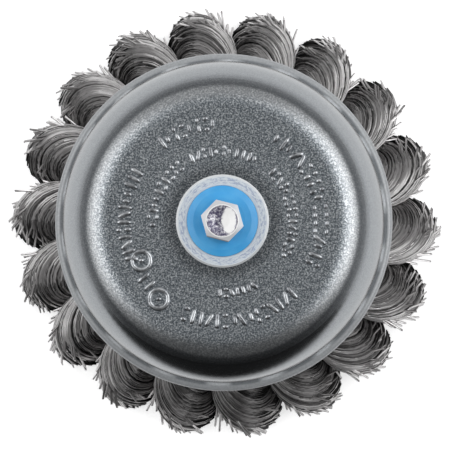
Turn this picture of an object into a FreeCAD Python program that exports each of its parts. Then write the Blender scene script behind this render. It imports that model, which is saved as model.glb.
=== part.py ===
import FreeCAD, Part
import math
import os
import Sketcher
from FreeCAD import Placement, Rotation, Vector

# Knotted wire cup brush, standing on its wire tips.
# Z is the brush's axis: the tips are at z = 0 and the hub points up.
# A pressed steel cup covers a dished holder. Each of the twisted wire knots is
# folded through a slot in the holder's flange, leaves the cup past its beaded
# rim and flares towards the tips. A threaded bush clamps the cup, the holder
# and a backing washer: its flange lies on the cup and its end is rolled over
# the washer. A plastic plug on a hexagon bolt closes the bush.
# All sizes are in millimetres and degrees.

DIMENSIONS = [
    ("knot_count", 18, "wire knots round the brush"),
    ("first_knot_angle", 18.0, "angle of the first knot from +X"),
    ("rim_height", 24.0, "wire tips to the cup's lower edge"),
    ("cup_height", 24.0, "cup's lower edge to its top face"),
    ("cup_thickness", 2.0, "sheet of the cup"),
    ("top_diameter", 55.6, "sharp corner between the cup's top face and shoulder"),
    ("shoulder_drop", 7.0, "top face to the sharp corner between shoulder and wall"),
    ("knot_room", 8.5, "holder's edge to the sharp corner between shoulder and wall"),
    ("rim_diameter", 75.4, "outside of the rolled bead"),
    ("bead_radius", 1.2, "section of the rolled bead"),
    ("bead_overhang", 0.85, "bead's centre line beyond the wall's outside"),
    ("shoulder_radius", 7.6, "outside rounding between the cup's top face and shoulder"),
    ("wall_radius", 15.0, "outside rounding between the cup's shoulder and wall"),
    ("bush_diameter", 17.0, "barrel of the threaded bush"),
    ("bush_clearance", 0.1, "barrel to the holes that it passes"),
    ("bush_flange_diameter", 19.7, "bush's flange on the cup"),
    ("bush_flange_thickness", 3.5, "bush's flange on the cup"),
    ("bush_flange_chamfer", 0.4, "edge of the bush's flange"),
    ("lip_diameter", 20.4, "bush's end rolled over the backing washer"),
    ("lip_thickness", 2.0, "bush's end rolled over the backing washer"),
    ("lip_radius", 1.2, "rounding of the rolled end"),
    ("thread_crest_diameter", 12.0, "bore of the bush inside its thread"),
    ("seat_diameter", 15.1, "counterbore for the plug's flange"),
    ("seat_depth", 1.2, "counterbore for the plug's flange"),
    ("washer_diameter", 27.0, "backing washer under the holder"),
    ("washer_thickness", 2.0, "backing washer under the holder"),
    ("holder_thickness", 2.0, "sheet of the knot holder"),
    ("holder_depth", 9.5, "holder's top to its lower edge"),
    ("holder_top_diameter", 45.6, "sharp corner of the holder's bend"),
    ("holder_edge_diameter", 52.8, "outside of the holder's lower edge"),
    ("holder_bend_radius", 3.0, "outside rounding of the holder's bend"),
    ("slot_width", 6.4, "slot in the holder for one knot"),
    ("web_height", 3.4, "holder's lower edge to its slots"),
    ("fold_thickness", 2.6, "wire bundle where it folds over the web"),
    ("fold_clearance", 0.25, "between the folded bundle and the holder"),
    ("fold_headroom", 0.35, "folded bundle to the roof of its slot"),
    ("fold_corner", 0.9, "rounding of the folded bundle"),
    ("brush_diameter", 101.0, "outside of the flared wire tips"),
    ("hollow_diameter", 65.0, "inside of the flared wire tips"),
    ("knot_radius", 4.6, "twisted bundle inside the cup"),
    ("knot_gap", 0.12, "half the gap between neighbouring knots"),
    ("cup_knot_gap", 0.3, "between a knot and the cup's wall"),
    ("lay_angle", 46.0, "wires to the knot's centre line"),
    ("strand_count", 8, "bulges of wire round a knot"),
    ("strand_relief", 0.1, "height of the bulges, as a share of the knot's radius"),
    ("flare_power", 0.85, "how late a knot opens past the cup's rim"),
    ("flare_bend", 1.8, "how early a knot leans outwards past the cup's rim"),
    ("plug_clearance", 0.05, "plug to the bush, all round"),
    ("plug_rise", 0.35, "plug's rim over the bush's face"),
    ("plug_dome", 0.7, "plug's rim to the bolt head's seat"),
    ("plug_seat_diameter", 9.6, "flat on the plug under the bolt head"),
    ("bolt_diameter", 5.0, "shank of the plug's bolt"),
    ("bolt_clearance", 0.05, "shank to the plug, all round"),
    ("bolt_tip", 1.2, "shank's end past the plug"),
    ("bolt_tip_chamfer", 0.5, "shank's end"),
    ("head_width", 8.0, "bolt head across its flats"),
    ("head_height", 3.5, "bolt head"),
    ("head_face_diameter", 7.0, "round face inside the head's chamfer"),
    ("head_chamfer_angle", 30.0, "head's chamfer to its top face"),
    ("head_dish_diameter", 6.2, "hollow pressed into the head's face"),
    ("head_dish_depth", 0.3, "hollow pressed into the head's face"),
    ("head_turn", 45.8, "a corner of the bolt head from +X"),
]

KNOT_STEPS_INSIDE = 6  # sections of a knot from its root to the cup's rim
KNOT_STEPS_OUTSIDE = 11  # sections from there to its tips
SHOULDER_SHARE = 0.38  # most of the cup's sloping shoulder that its upper rounding takes
WALL_SHARE = 0.61  # most of the same slope that its lower rounding takes

# Heights, radii and slopes that several pieces share, as expressions on the sheet.
FACE = "(dims.rim_height + dims.cup_height)"
CUP_INSIDE = f"({FACE} - dims.cup_thickness)"
BEAD_CENTRE = "(dims.rim_diameter / 2 - dims.bead_radius)"
BEAD_LEVEL = "(dims.rim_height + dims.bead_radius)"
WALL_TOP = "(dims.holder_edge_diameter / 2 + dims.knot_room)"
WALL_TOP_LEVEL = f"({FACE} - dims.shoulder_drop)"
WALL_AT_BEAD = f"({BEAD_CENTRE} - dims.bead_overhang)"
WALL_SLOPE = f"(({WALL_AT_BEAD} - {WALL_TOP}) / ({WALL_TOP_LEVEL} - {BEAD_LEVEL}))"
WALL_FOOT = f"({WALL_AT_BEAD} + dims.bead_radius * {WALL_SLOPE})"
WALL_WIDTH = f"(dims.cup_thickness * sqrt(1 + {WALL_SLOPE} ^ 2))"
SHOULDER_WIDTH = f"({WALL_TOP} - dims.top_diameter / 2)"
SHOULDER_LENGTH = f"sqrt({SHOULDER_WIDTH} ^ 2 + dims.shoulder_drop ^ 2)"
SHOULDER_HALF = f"(atan(dims.shoulder_drop / {SHOULDER_WIDTH}) / 2)"  # half the bend's angle
WALL_HALF = f"(45 deg - atan({WALL_SLOPE}) / 2 - {SHOULDER_HALF})"  # half the bend's angle
HOLE = "(dims.bush_diameter / 2 + dims.bush_clearance)"
HOLDER_UNDER = f"({CUP_INSIDE} - dims.holder_thickness)"
HOLDER_EDGE = f"({CUP_INSIDE} - dims.holder_depth)"
HOLDER_SLOPE = "((dims.holder_edge_diameter - dims.holder_top_diameter) / 2 / dims.holder_depth)"
HOLDER_WIDTH = f"(dims.holder_thickness * sqrt(1 + {HOLDER_SLOPE} ^ 2))"
SLOT_FLOOR = f"({HOLDER_EDGE} + dims.web_height)"
WASHER_UNDER = f"({HOLDER_UNDER} - dims.washer_thickness)"
BUSH_END = f"({WASHER_UNDER} - dims.lip_thickness)"
BUSH_FACE = f"({FACE} + dims.bush_flange_thickness)"
SEAT = f"({BUSH_FACE} - dims.seat_depth)"
PLUG_RIM = f"({BUSH_FACE} + dims.plug_rise)"
HEAD_SEAT = f"({PLUG_RIM} + dims.plug_dome)"
HEAD_TOP = f"({HEAD_SEAT} + dims.head_height)"

doc = FreeCAD.newDocument("wire_cup_brush")
sheet = doc.addObject("Spreadsheet::Sheet", "dims")


def fill_sheet():
    for row, (alias, value, meaning) in enumerate(DIMENSIONS, start=1):
        sheet.set(f"A{row}", meaning)
        sheet.set(f"B{row}", str(value))
        sheet.setAlias(f"B{row}", alias)
    doc.recompute()


def evaluate(expression):
    """Number that an expression on the sheet gives."""
    return float(sheet.evalExpression(expression))


def new_body(label):
    body = doc.addObject("PartDesign::Body", label)
    body.Label = label
    return body


def new_sketch(body, name):
    """Sketch on the body's own XZ plane: x is the radius and y the height."""
    sketch = body.newObject("Sketcher::SketchObject", name)
    plane = next(f for f in body.Origin.OriginFeatures if f.Role == "XZ_Plane")
    sketch.AttachmentSupport = [(plane, "")]
    sketch.MapMode = "FlatFace"
    return sketch


def place_point(sketch, geometry, point, across, up):
    """Ties one point of a sketch to its two expressions."""
    for kind, expression in (("DistanceX", across), ("DistanceY", up)):
        value = evaluate(expression)
        index = sketch.addConstraint(Sketcher.Constraint(kind, -1, 1, geometry, point, value))
        sketch.setExpression(f"Constraints[{index}]", expression)


def outline_sketch(body, name, corners):
    """Closed outline of straight lines through pairs of expressions."""
    sketch = new_sketch(body, name)
    points = [Vector(evaluate(across), evaluate(up), 0) for across, up in corners]
    ends = points[1:] + points[:1]
    for start, end in zip(points, ends):
        sketch.addGeometry(Part.LineSegment(start, end))
    for i, (across, up) in enumerate(corners):
        following = (i + 1) % len(corners)
        sketch.addConstraint(Sketcher.Constraint("Coincident", i, 2, following, 1))
        place_point(sketch, i, 1, across, up)
    return sketch


def circle_sketch(body, name, across, up, radius):
    sketch = new_sketch(body, name)
    centre = Vector(evaluate(across), evaluate(up), 0)
    sketch.addGeometry(Part.Circle(centre, Vector(0, 0, 1), evaluate(radius)))
    place_point(sketch, 0, 3, across, up)
    index = sketch.addConstraint(Sketcher.Constraint("Radius", 0, evaluate(radius)))
    sketch.setExpression(f"Constraints[{index}]", radius)
    return sketch


def turned(body, name, sketch, kind="PartDesign::Revolution"):
    """Solid or cut made by turning a sketch once round the axis."""
    feature = body.newObject(kind, name)
    feature.Profile = sketch
    feature.ReferenceAxis = (sketch, ["V_Axis"])
    feature.Angle = 360
    doc.recompute()
    return feature


def rounded(body, name, base, radius, places, kind="PartDesign::Fillet"):
    """Fillet or chamfer on the round edges at pairs of radius and height."""
    wanted = [(evaluate(across), evaluate(up)) for across, up in places]
    names = []
    for number, edge in enumerate(base.Shape.Edges, start=1):
        if not isinstance(edge.Curve, Part.Circle):
            continue
        ring = (edge.Curve.Radius, edge.Curve.Center.z)
        if any(math.dist(ring, place) < 1e-4 for place in wanted):
            names.append(f"Edge{number}")
    feature = body.newObject(kind, name)
    feature.Base = (base, names)
    size = "Radius" if kind.endswith("Fillet") else "Size"
    feature.setExpression(size, radius)
    doc.recompute()
    return feature


def make_cup_shell():
    """Flat top, sloping shoulder and steep wall of one sheet, both bends rounded."""
    body = new_body("cup_shell")
    top = "dims.top_diameter / 2"
    inner_top = f"{top} - dims.cup_thickness * tan({SHOULDER_HALF})"
    inset = f"dims.cup_thickness / cos({WALL_HALF})"
    inset_angle = f"(2 * {SHOULDER_HALF} + {WALL_HALF})"
    inner_wall = f"{WALL_TOP} - {inset} * sin({inset_angle})"
    inner_level = f"{WALL_TOP_LEVEL} - {inset} * cos({inset_angle})"
    outline = outline_sketch(body, "cup_outline", [
        (HOLE, CUP_INSIDE),
        (HOLE, FACE),
        (top, FACE),
        (WALL_TOP, WALL_TOP_LEVEL),
        (WALL_FOOT, "dims.rim_height"),
        (f"{WALL_FOOT} - {WALL_WIDTH}", "dims.rim_height"),
        (inner_wall, inner_level),
        (inner_top, CUP_INSIDE),
    ])
    shell = turned(body, "cup_turned", outline)

    shoulder_room = f"{SHOULDER_SHARE} * {SHOULDER_LENGTH} / tan({SHOULDER_HALF})"
    wall_room = f"{WALL_SHARE} * {SHOULDER_LENGTH} / tan(abs({WALL_HALF}))"
    for name, radius, corner, inner_corner in (
        ("shoulder", f"min(dims.shoulder_radius; {shoulder_room})",
         (top, FACE), (inner_top, CUP_INSIDE)),
        ("wall", f"min(dims.wall_radius; {wall_room})",
         (WALL_TOP, WALL_TOP_LEVEL), (inner_wall, inner_level)),
    ):
        shell = rounded(body, f"{name}_bend", shell, radius, [corner])
        shell = rounded(body, f"{name}_bend_inside", shell, f"{radius} - dims.cup_thickness",
                        [inner_corner])
    bead = circle_sketch(body, "bead_section", BEAD_CENTRE, BEAD_LEVEL, "dims.bead_radius")
    turned(body, "cup_bead", bead)
    return body


def make_knot_holder():
    body = new_body("knot_holder")
    top = "dims.holder_top_diameter / 2"
    edge = "dims.holder_edge_diameter / 2"
    inner_top = f"{top} + {HOLDER_SLOPE} * dims.holder_thickness - {HOLDER_WIDTH}"
    outline = outline_sketch(body, "holder_outline", [
        (HOLE, HOLDER_UNDER),
        (HOLE, CUP_INSIDE),
        (top, CUP_INSIDE),
        (edge, HOLDER_EDGE),
        (f"{edge} - {HOLDER_WIDTH}", HOLDER_EDGE),
        (inner_top, HOLDER_UNDER),
    ])
    dish = turned(body, "holder_turned", outline)
    outside = rounded(body, "holder_bend", dish, "dims.holder_bend_radius", [(top, CUP_INSIDE)])
    rounded(body, "holder_bend_inside", outside,
            "dims.holder_bend_radius - dims.holder_thickness", [(inner_top, HOLDER_UNDER)])
    slot_roof = f"{SLOT_FLOOR} + dims.fold_clearance + dims.fold_thickness + dims.fold_headroom"
    window = outline_sketch(body, "slot_outline", [
        (f"{inner_top} - dims.holder_thickness", SLOT_FLOOR),
        (f"{edge} + dims.holder_thickness", SLOT_FLOOR),
        (f"{edge} + dims.holder_thickness", slot_roof),
        (f"{inner_top} - dims.holder_thickness", slot_roof),
    ])
    slot = body.newObject("PartDesign::Pocket", "slot")
    slot.Profile = window
    slot.Midplane = True
    slot.setExpression("Length", "dims.slot_width")
    doc.recompute()
    pattern = body.newObject("PartDesign::PolarPattern", "slots")
    pattern.Originals = [slot]
    pattern.Axis = (window, ["V_Axis"])
    pattern.Angle = 360
    pattern.setExpression("Occurrences", "dims.knot_count")
    body.Tip = pattern
    body.setExpression("Placement.Rotation.Angle", "dims.first_knot_angle")
    return body


def make_backing_washer():
    body = new_body("backing_washer")
    turned(body, "washer_turned", outline_sketch(body, "washer_outline", [
        (HOLE, WASHER_UNDER),
        (HOLE, HOLDER_UNDER),
        ("dims.washer_diameter / 2", HOLDER_UNDER),
        ("dims.washer_diameter / 2", WASHER_UNDER),
    ]))
    return body


def make_threaded_bush():
    body = new_body("threaded_bush")
    bore = "dims.thread_crest_diameter / 2"
    seat = "dims.seat_diameter / 2"
    flange = "dims.bush_flange_diameter / 2"
    barrel = "dims.bush_diameter / 2"
    lip = "dims.lip_diameter / 2"
    outline = outline_sketch(body, "bush_outline", [
        (bore, BUSH_END),
        (bore, SEAT),
        (seat, SEAT),
        (seat, BUSH_FACE),
        (flange, BUSH_FACE),
        (flange, FACE),
        (barrel, FACE),
        (barrel, WASHER_UNDER),
        (lip, WASHER_UNDER),
        (lip, BUSH_END),
    ])
    blank = turned(body, "bush_turned", outline)
    rolled = rounded(body, "rolled_end", blank, "dims.lip_radius", [(lip, BUSH_END)])
    rounded(body, "flange_edge", rolled, "dims.bush_flange_chamfer", [(flange, BUSH_FACE)],
            "PartDesign::Chamfer")
    return body


def make_bore_plug():
    body = new_body("bore_plug")
    hole = "dims.bolt_diameter / 2 + dims.bolt_clearance"
    barrel = "dims.thread_crest_diameter / 2 - dims.plug_clearance"
    flange = "dims.seat_diameter / 2 - dims.plug_clearance"
    turned(body, "plug_turned", outline_sketch(body, "plug_outline", [
        (hole, BUSH_END),
        (hole, HEAD_SEAT),
        ("dims.plug_seat_diameter / 2", HEAD_SEAT),
        (f"({flange} + dims.plug_seat_diameter / 2) / 2", f"{HEAD_SEAT} - dims.plug_dome / 4"),
        (flange, PLUG_RIM),
        (flange, SEAT),
        (barrel, SEAT),
        (barrel, BUSH_END),
    ]))
    return body


def make_plug_bolt():
    body = new_body("plug_bolt")
    shank = "dims.bolt_diameter / 2"
    tip = f"({BUSH_END} - dims.bolt_tip)"
    face = "dims.head_face_diameter / 2"
    corner = "dims.head_width / sqrt(3)"
    stock = f"({corner} + dims.head_width / 10)"

    head = body.newObject("PartDesign::AdditivePrism", "head")
    head.Polygon = 6
    head.setExpression("Circumradius", corner)
    head.setExpression("Height", "dims.head_height")
    head.setExpression("Placement.Base.z", HEAD_SEAT)
    doc.recompute()
    chamfer = outline_sketch(body, "head_chamfer_outline", [
        (face, HEAD_TOP),
        (stock, HEAD_TOP),
        (stock, f"{HEAD_TOP} - ({stock} - {face}) * tan(dims.head_chamfer_angle)"),
    ])
    turned(body, "head_chamfer", chamfer, "PartDesign::Groove")
    dish = "dims.head_dish_diameter / 2"
    dish_floor = f"{HEAD_TOP} - dims.head_dish_depth"
    turned(body, "head_dish", outline_sketch(body, "head_dish_outline", [
        ("0", dish_floor),
        (f"{dish} / 2", dish_floor),
        (dish, HEAD_TOP),
        ("0", HEAD_TOP),
    ]), "PartDesign::Groove")
    turned(body, "shank_turned", outline_sketch(body, "shank_outline", [
        ("0", tip),
        (f"{shank} - dims.bolt_tip_chamfer", tip),
        (shank, f"{tip} + dims.bolt_tip_chamfer"),
        (shank, HEAD_SEAT),
        ("0", HEAD_SEAT),
    ]))
    body.setExpression("Placement.Rotation.Angle", "dims.head_turn")
    return body


def knot_course():
    """Centre line of a knot: straight down to the cup's rim, then bent outwards.

    Gives the root's height, the height where the knot leaves the cup and a
    function from a height to the line's radius.
    """
    root_height = evaluate(f"{HOLDER_EDGE} - dims.fold_clearance")
    root_radius = evaluate(f"dims.holder_edge_diameter / 2 - {HOLDER_WIDTH} / 2")
    rim_height = evaluate("dims.rim_height - dims.cup_knot_gap")
    swell = "dims.knot_radius * (1 + dims.strand_relief)"
    rim_radius = evaluate(f"{WALL_FOOT} - {WALL_WIDTH} - dims.cup_knot_gap - {swell}")
    tip_radius = evaluate("(dims.brush_diameter + dims.hollow_diameter) / 4")
    bend = evaluate("dims.flare_bend")

    def radius_at(height):
        if height > rim_height:
            share = (root_height - height) / (root_height - rim_height)
            return root_radius + (rim_radius - root_radius) * share
        return tip_radius - (tip_radius - rim_radius) * (height / rim_height) ** bend

    return root_height, rim_height, radius_at


def knot_half_sizes(height, rim_height, centre):
    """Half of a knot's size along the brush's radius and across it, without bulges.

    The bundle is round down to the rim and then opens. Across, it ends at the
    flat sides that it shares with its neighbours.
    """
    relief = 1 + evaluate("dims.strand_relief")
    bundle = evaluate("dims.knot_radius")
    tips = evaluate("(dims.brush_diameter - dims.hollow_diameter) / 4") / relief
    opened = max(0.0, 1 - height / rim_height) ** evaluate("dims.flare_power")
    along = bundle + (tips - bundle) * opened
    half_pitch = math.radians(180 / evaluate("dims.knot_count"))
    share = math.tan(half_pitch) * math.sqrt(centre ** 2 - (along * relief) ** 2)
    across = (share - evaluate("dims.knot_gap") / math.cos(half_pitch)) / relief
    return along, min(along, across)


def knot_rings():
    """Sections of the twisted bundle, from its root down to its tips.

    Each is a level ring of points with a bulge for each strand. The strands
    turn counter-clockwise on their way down, at the lay angle to the centre
    line, so a wider section turns more slowly.
    """
    strands = int(evaluate("dims.strand_count"))
    relief = evaluate("dims.strand_relief")
    lay = math.tan(math.radians(evaluate("dims.lay_angle")))
    root_height, rim_height, radius_at = knot_course()
    inside = root_height - rim_height
    heights = [root_height - inside * i / KNOT_STEPS_INSIDE for i in range(KNOT_STEPS_INSIDE)]
    heights += [rim_height * (1 - i / KNOT_STEPS_OUTSIDE) for i in range(KNOT_STEPS_OUTSIDE + 1)]
    rings = []
    turn = 0.0
    last = None
    for height in heights:
        centre = Vector(radius_at(height), 0, height)
        along, across = knot_half_sizes(height, rim_height, centre.x)
        if last is not None:
            turn += lay * (centre - last).Length / ((along + across) / 2)
        last = centre
        ring = []
        for k in range(2 * strands):
            angle = math.pi * k / strands + turn
            swell = 1 + relief * (1 if k % 2 == 0 else -1)
            offset = Vector(along * swell * math.cos(angle), across * swell * math.sin(angle), 0)
            ring.append(centre + offset)
        rings.append(ring)
    return rings


def triangle(a, b, c):
    return Part.Face(Part.makePolygon([a, b, c, a]))


def twisted_bundle():
    """Closed solid of flat triangles between the rings."""
    rings = knot_rings()
    count = len(rings[0])
    faces = [Part.Face(Part.makePolygon(ring + ring[:1])) for ring in (rings[0], rings[-1])]
    for upper, lower in zip(rings, rings[1:]):
        for k in range(count):
            following = (k + 1) % count
            faces.append(triangle(upper[k], upper[following], lower[k]))
            faces.append(triangle(lower[k], upper[following], lower[following]))
    solid = Part.Solid(Part.Shell(faces))
    if solid.Volume < 0:
        solid.reverse()
    return solid


def knot_sector(reach):
    """Upright wedge between the flat sides that a knot shares with its neighbours."""
    half_pitch = math.radians(180 / evaluate("dims.knot_count"))
    apex = evaluate("dims.knot_gap") / math.sin(half_pitch)
    half_width = (reach - apex) * math.tan(half_pitch)
    corners = [Vector(apex, 0, 0), Vector(reach, half_width, 0), Vector(reach, -half_width, 0)]
    return Part.Face(Part.makePolygon(corners + corners[:1])).extrude(Vector(0, 0, evaluate(FACE)))


def folded_bundle():
    """The same wires above the root: down both sides of the web, over its top."""
    slope = evaluate(HOLDER_SLOPE)
    tilt = math.sqrt(1 + slope ** 2)
    thickness = evaluate("dims.fold_thickness")
    clearance = evaluate("dims.fold_clearance")
    corner = evaluate("dims.fold_corner")
    edge_radius = evaluate("dims.holder_edge_diameter / 2")
    edge_height = evaluate(HOLDER_EDGE)
    low = edge_height - clearance
    saddle = evaluate(SLOT_FLOOR) + clearance
    high = saddle + thickness

    def outside(height, distance):
        return edge_radius - slope * (height - edge_height) + distance * tilt

    def inside(height, distance):
        return outside(height, -distance) - evaluate(HOLDER_WIDTH)

    far = clearance + thickness
    outline = [
        (outside(low, clearance), low),
        (outside(low, far), low),
        (outside(high - corner, far), high - corner),
        (outside(high, far) - corner, high),
        (inside(high, far) + corner, high),
        (inside(high - corner, far), high - corner),
        (inside(low, far), low),
        (inside(low, clearance), low),
        (inside(saddle, clearance), saddle),
        (outside(saddle, clearance), saddle),
    ]
    width = evaluate("dims.slot_width - 2 * dims.fold_clearance")
    points = [Vector(radius, -width / 2, height) for radius, height in outline]
    bundle = Part.Face(Part.makePolygon(points + points[:1])).extrude(Vector(0, width, 0))
    return bundle.common(knot_sector(2 * edge_radius))


def make_knots():
    bundle = twisted_bundle().fuse(folded_bundle())
    count = int(evaluate("dims.knot_count"))
    first = evaluate("dims.first_knot_angle")
    knots = []
    for i in range(count):
        knot = doc.addObject("Part::Feature", f"knot_{i + 1:02d}")
        knot.Label = knot.Name
        knot.Shape = bundle
        turn = Rotation(Vector(0, 0, 1), first + 360 * i / count)
        knot.Placement = Placement(Vector(0, 0, 0), turn)
        knots.append(knot)
    return knots


def check(parts):
    for item in doc.Objects:
        if {"Invalid", "Error"} & set(item.State):
            raise RuntimeError(f"{item.Label} failed: {item.State}")
    for part in parts:
        if part.Shape.isNull() or not part.Shape.isValid() or len(part.Shape.Solids) != 1:
            raise RuntimeError(f"{part.Label} isn't one valid solid")


def export(parts):
    os.makedirs("parts", exist_ok=True)
    for part in parts:
        part.Shape.exportStep(f"parts/{part.Label}.step")
        print(f"{part.Label}: {part.Shape.Volume:.1f} mm3")


fill_sheet()
sub_parts = [
    make_cup_shell(),
    make_knot_holder(),
    make_backing_washer(),
    make_threaded_bush(),
    make_bore_plug(),
    make_plug_bolt(),
] + make_knots()
doc.recompute()
check(sub_parts)
export(sub_parts)
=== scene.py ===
# Knotted wire cup brush, seen from straight above its hub.
import math

import bpy
import numpy as np
from mathutils import Matrix, Vector


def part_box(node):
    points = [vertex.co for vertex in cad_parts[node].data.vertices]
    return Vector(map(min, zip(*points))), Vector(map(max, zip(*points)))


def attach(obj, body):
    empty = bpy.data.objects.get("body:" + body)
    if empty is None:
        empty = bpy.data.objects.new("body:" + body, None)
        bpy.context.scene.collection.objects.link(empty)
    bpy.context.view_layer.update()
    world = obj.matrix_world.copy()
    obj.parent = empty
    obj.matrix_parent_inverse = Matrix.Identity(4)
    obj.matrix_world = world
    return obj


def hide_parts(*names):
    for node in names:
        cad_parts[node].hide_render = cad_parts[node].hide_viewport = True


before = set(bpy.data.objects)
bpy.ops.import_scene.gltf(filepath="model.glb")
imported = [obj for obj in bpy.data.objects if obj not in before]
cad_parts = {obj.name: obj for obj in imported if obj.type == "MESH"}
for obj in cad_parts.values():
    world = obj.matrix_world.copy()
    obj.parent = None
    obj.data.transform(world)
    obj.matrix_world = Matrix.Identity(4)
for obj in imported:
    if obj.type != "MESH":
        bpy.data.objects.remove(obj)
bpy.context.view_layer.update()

mm = 0.001
cupLow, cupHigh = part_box("cup_shell")
rimHeight = cupLow[2] / mm
faceHeight = cupHigh[2] / mm
print("frame loaded:", len(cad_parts), "nodes")


# Meshes

def meshPiece(name, points, faceGroups, smooth=True):
    # points in mm; each face group is an array of faces with the same number of corners
    mesh = bpy.data.meshes.new(name)
    mesh.vertices.add(len(points))
    mesh.vertices.foreach_set("co", (points * mm).ravel())
    corners = np.concatenate([group.ravel() for group in faceGroups])
    sizes = np.concatenate([np.full(len(group), group.shape[1]) for group in faceGroups])
    starts = np.concatenate([[0], np.cumsum(sizes)[:-1]])
    mesh.loops.add(len(corners))
    mesh.loops.foreach_set("vertex_index", corners.astype(np.int32))
    mesh.polygons.add(len(sizes))
    mesh.polygons.foreach_set("loop_start", starts.astype(np.int32))
    mesh.update(calc_edges=True)
    mesh.validate()
    mesh.polygons.foreach_set("use_smooth", np.full(len(sizes), smooth))
    piece = bpy.data.objects.new(name, mesh)
    bpy.context.scene.collection.objects.link(piece)
    return piece


def tubes(paths, radii, sides):
    # Round bars along many paths at once, wires x levels x 3. Each level gets a ring of
    # corners at its own radius, in the plane across the path: centre plus radius times
    # (sideways cos t + across sin t). Rings are joined level to level and the ends closed.
    count, levels, _ = paths.shape
    along = np.gradient(paths, axis=1)
    along /= np.linalg.norm(along, axis=2, keepdims=True)
    sideways = np.array([0.0, 1.0, 0.0]) - along * along[..., 1:2]
    sideways /= np.linalg.norm(sideways, axis=2, keepdims=True)
    across = np.cross(along, sideways)
    turn = 2 * np.pi * np.arange(sides) / sides
    ring = (sideways[:, :, None] * np.cos(turn)[:, None]
            + across[:, :, None] * np.sin(turn)[:, None])
    points = paths[:, :, None] + radii[:, None, None] * ring
    corner = np.arange(count * levels * sides).reshape(count, levels, sides)
    following = np.roll(corner, -1, axis=2)
    walls = np.stack([corner[:, :-1], following[:, :-1], following[:, 1:], corner[:, 1:]], axis=-1)
    caps = np.concatenate([corner[:, 0, ::-1], corner[:, -1]])
    return points.reshape(-1, 3), [walls.reshape(-1, 4), caps]


# Materials

def newMaterial(name, colour, metallic, roughness):
    # a material, its node tree and its shader
    material = bpy.data.materials.new(name)
    material.use_nodes = True
    shader = material.node_tree.nodes["Principled BSDF"]
    shader.inputs["Base Color"].default_value = (*colour, 1)
    shader.inputs["Metallic"].default_value = metallic
    shader.inputs["Roughness"].default_value = roughness
    return material, material.node_tree, shader


def addNode(tree, kind, **values):
    # a node with its properties set by name
    node = tree.nodes.new(kind)
    for name, value in values.items():
        setattr(node, name, value)
    return node


def mathOn(tree, operation, first, second=0.0):
    # Math node on two sockets or numbers; gives its output socket
    node = addNode(tree, "ShaderNodeMath", operation=operation)
    for socket, value in zip(node.inputs, (first, second)):
        if isinstance(value, (int, float)):
            socket.default_value = value
        else:
            tree.links.new(value, socket)
    return node.outputs[0]


def betweenOn(tree, share, low, high):
    # low where the share is 0, high where it is 1
    return mathOn(tree, "ADD", mathOn(tree, "MULTIPLY", share, high - low), low)


def stepOn(tree, value, low, high):
    # 0 below low, 1 above high and a smooth step between; low may be the larger
    node = addNode(tree, "ShaderNodeMapRange", interpolation_type="SMOOTHSTEP")
    tree.links.new(value, node.inputs["Value"])
    node.inputs["From Min"].default_value = min(low, high)
    node.inputs["From Max"].default_value = max(low, high)
    node.inputs["To Min"].default_value = 0.0 if low < high else 1.0
    node.inputs["To Max"].default_value = 1.0 if low < high else 0.0
    return node.outputs["Result"]


def bandOn(tree, value, start, full, fullTo, end):
    # 1 between full and fullTo, with smooth steps down to 0 at start and at end
    return mathOn(tree, "MULTIPLY", stepOn(tree, value, start, full),
                  stepOn(tree, value, end, fullTo))


def placeOn(tree, kind="Object"):
    # x, y and z sockets of the coordinates
    place = addNode(tree, "ShaderNodeTexCoord")
    split = addNode(tree, "ShaderNodeSeparateXYZ")
    tree.links.new(place.outputs[kind], split.inputs["Vector"])
    return split.outputs


def radiusOn(tree, place):
    # distance from the brush's axis in metres
    squares = mathOn(tree, "ADD", mathOn(tree, "MULTIPLY", place[0], place[0]),
                     mathOn(tree, "MULTIPLY", place[1], place[1]))
    return mathOn(tree, "SQRT", squares)


def noiseOn(tree, scale, detail, roughness, vector=None):
    # noise on Object coordinates, with the scale in bumps per metre, or on another vector
    if vector is None:
        vector = addNode(tree, "ShaderNodeTexCoord").outputs["Object"]
    noise = addNode(tree, "ShaderNodeTexNoise")
    noise.inputs["Scale"].default_value = scale
    noise.inputs["Detail"].default_value = detail
    noise.inputs["Roughness"].default_value = roughness
    tree.links.new(vector, noise.inputs["Vector"])
    return noise.outputs["Fac"]


def rampOn(tree, source, stops):
    # colour ramp through pairs of a place and a grey or a colour
    ramp = addNode(tree, "ShaderNodeValToRGB")
    elements = ramp.color_ramp.elements
    while len(elements) < len(stops):
        elements.new(0.5)
    for element, (place, value) in zip(elements, stops):
        element.position = place
        element.color = (*value, 1) if isinstance(value, tuple) else (value, value, value, 1)
    tree.links.new(source, ramp.inputs["Fac"])
    return ramp.outputs["Color"]


def mixOn(tree, share, first, second):
    # mix of two colours, sockets or fixed
    mix = addNode(tree, "ShaderNodeMix", data_type="RGBA")
    tree.links.new(share, mix.inputs["Factor"])
    for socket, value in ((mix.inputs[6], first), (mix.inputs[7], second)):
        if isinstance(value, tuple):
            socket.default_value = (*value, 1)
        else:
            tree.links.new(value, socket)
    return mix.outputs[2]


def bumpOn(tree, shader, height, distance):
    # relief of the surface; distance is its depth in metres
    bump = addNode(tree, "ShaderNodeBump")
    bump.inputs["Distance"].default_value = distance
    tree.links.new(height, bump.inputs["Height"])
    tree.links.new(bump.outputs["Normal"], shader.inputs["Normal"])


# In the finishes below a name with From, To or Band has the radii, in metres from the axis,
# over which that look comes in or ends. A noise has its bumps per metre, detail and
# roughness. A name with Steps has the noise's levels between which a look comes in, and
# shades and grains have such levels with their colours. Depths are in metres.

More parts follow.
